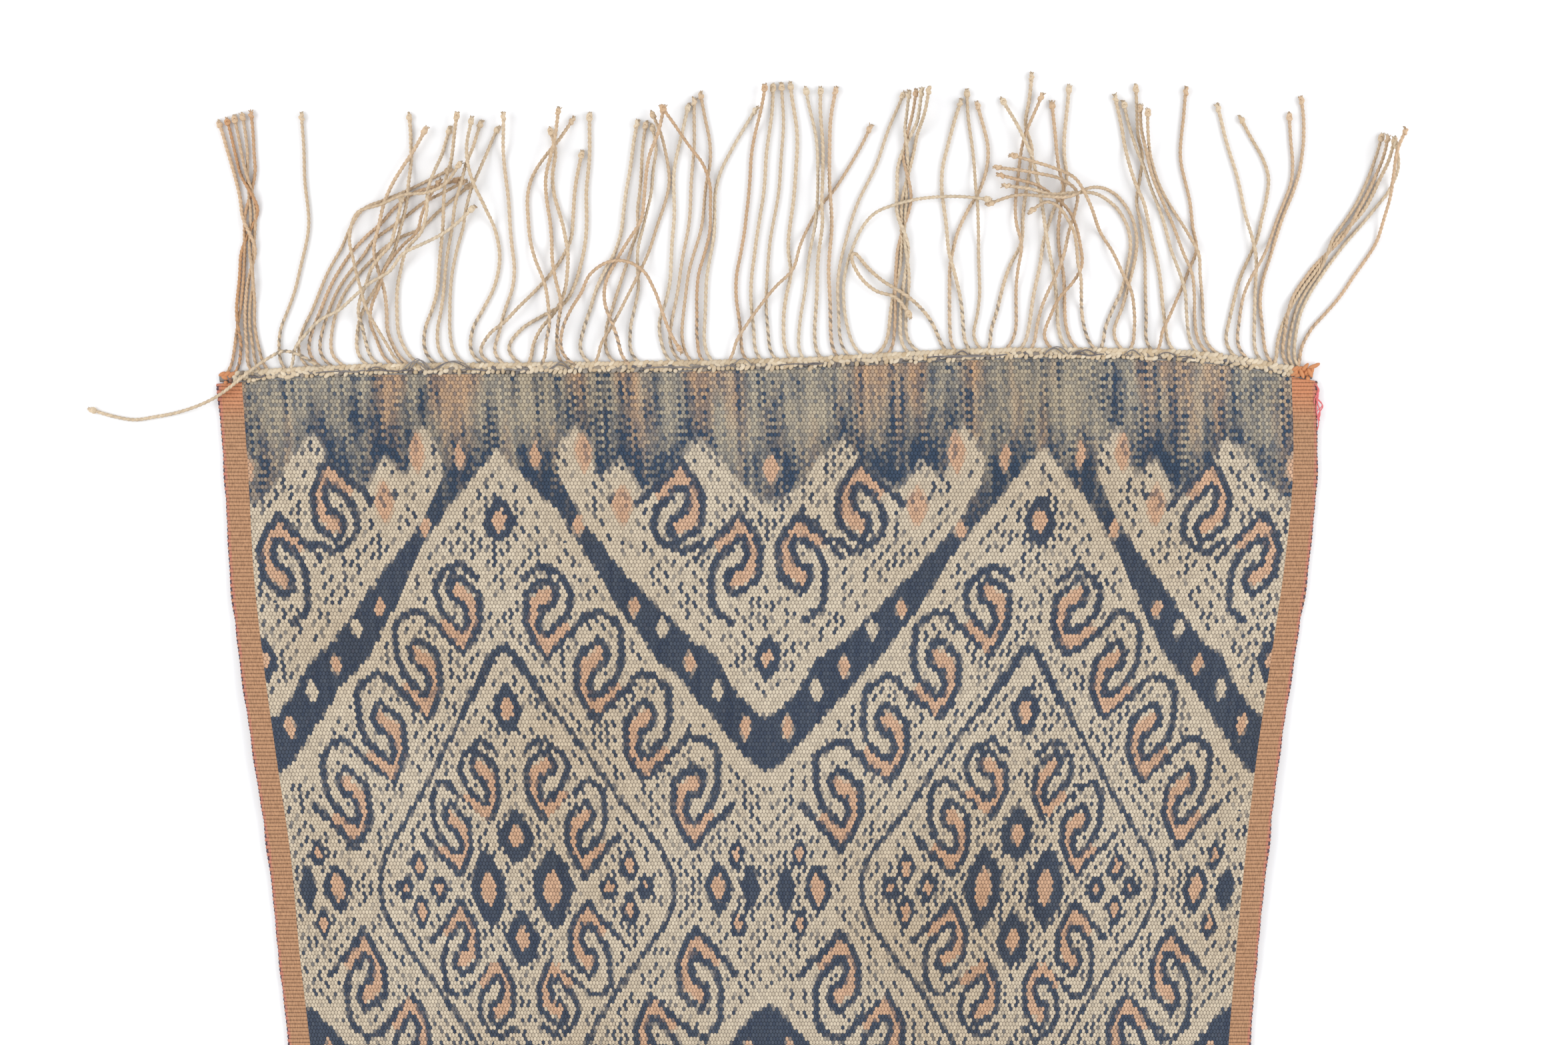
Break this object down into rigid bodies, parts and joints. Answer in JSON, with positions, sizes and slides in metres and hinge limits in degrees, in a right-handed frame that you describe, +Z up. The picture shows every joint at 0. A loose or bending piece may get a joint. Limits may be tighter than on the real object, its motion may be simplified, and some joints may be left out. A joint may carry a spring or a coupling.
{
  "type": "ikat woven cloth",
  "caption": "Narrow warp-faced ikat cloth, lying spread out, with a twined heading and a fringe of knotted plied cords at one end.",
  "frame": {"origin": "on the flat underside, midway between the two ends and on the line midway between the selvedges", "axes": "+Y along the warp towards the fringed end, +X along the weft to the right when the face is seen with the fringe at the top, +Z up from the surface that the cloth lies on"},
  "size_m": [0.5723, 0.9629, 0.0131],
  "materials": {
    "cloth": "matte warp-faced handspun cotton, ikat dyed in indigo and pale brown on cream",
    "cord": "matte plied handspun cotton cord in faded cream and brown"
  },
  "bodies": {
    "root": {"ikat_cloth": "cloth", "heading_and_fringe": "cord"}
  },
  "joints": []
}
